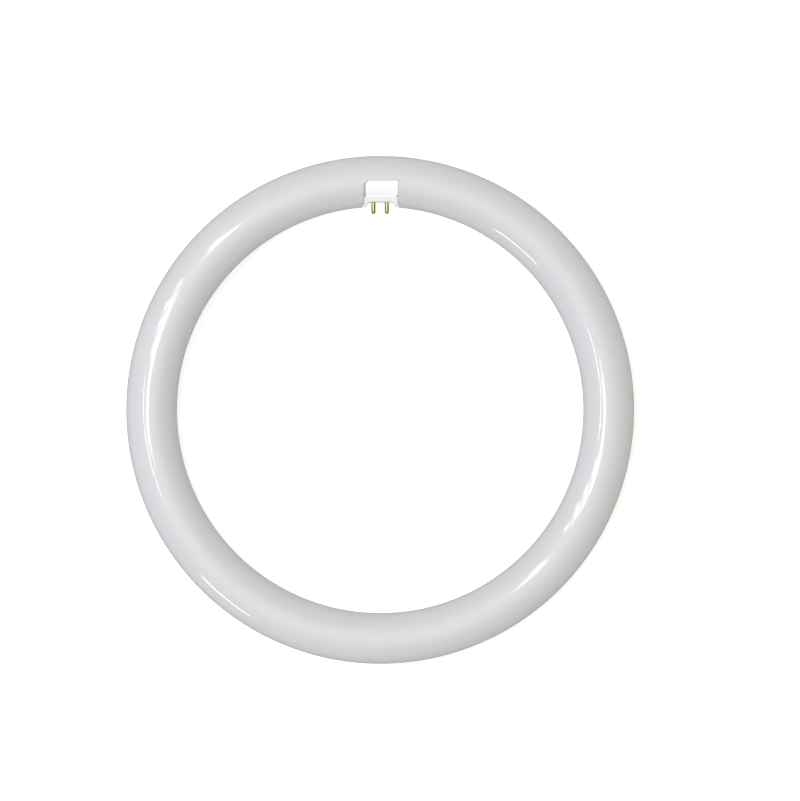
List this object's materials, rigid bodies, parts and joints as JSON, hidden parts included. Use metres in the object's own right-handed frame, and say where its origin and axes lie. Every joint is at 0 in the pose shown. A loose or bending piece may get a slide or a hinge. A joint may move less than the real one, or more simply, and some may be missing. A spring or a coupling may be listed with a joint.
{
  "type": "circular led tube",
  "caption": "Ring-shaped light tube in two milky half shells, with a white base on its inner side whose brass contact pins point to the centre.",
  "frame": {"origin": "centre of the ring, in the plane where the two covers meet", "axes": "+Z along the ring's axis to the side that gives the light, +Y from the centre to the base; the contact pins point along -Y"},
  "size_m": [0.3, 0.3, 0.03],
  "materials": {
    "front_cover": "milky, smooth and glossy",
    "rear_cover": "milky, smooth and glossy",
    "base": "smooth, pure white",
    "pin_metal": "polished, slightly green",
    "pin_lead": "soft white insulation",
    "driver_board": "green mask, satin",
    "fuse_resistor": "grey green coat",
    "varistor": "blue dipped coat",
    "film_capacitor": "yellow case",
    "black_package": "fine matt moulding",
    "capacitor_sleeve": "shrunk sleeve, satin",
    "inductor": "dark core and coil",
    "screw_metal": "bright zinc",
    "board_metal": "white mask on bare metal",
    "led_package": "white case with a yellow lens",
    "negative_lead": "soft black insulation",
    "positive_lead": "soft red insulation",
    "jumper_metal": "tinned wire and solder"
  },
  "bodies": {
    "root": {"front_cover": "front_cover", "rear_cover": "rear_cover", "base_saddle": "base", "pin_carrier": "base", "contact_pin_1": "pin_metal", "contact_pin_2": "pin_metal", "contact_pin_3": "pin_metal", "contact_pin_4": "pin_metal", "pin_lead_1": "pin_lead", "pin_lead_2": "pin_lead", "pin_lead_3": "pin_lead", "pin_lead_4": "pin_lead", "driver_board": "driver_board", "fuse_resistor": "fuse_resistor", "varistor": "varistor", "film_capacitor": "film_capacitor", "bridge_rectifier": "black_package", "input_capacitor": "capacitor_sleeve", "controller_chip": "black_package", "inductor": "inductor", "output_capacitor": "capacitor_sleeve", "driver_screws": "screw_metal", "led_board_1": "board_metal", "led_board_2": "board_metal", "led_board_3": "board_metal", "led_board_4": "board_metal", "leds_1": "led_package", "leds_2": "led_package", "leds_3": "led_package", "leds_4": "led_package", "board_screws": "screw_metal", "led_lead_negative": "negative_lead", "led_lead_positive": "positive_lead", "board_jumpers": "jumper_metal"}
  },
  "joints": []
}
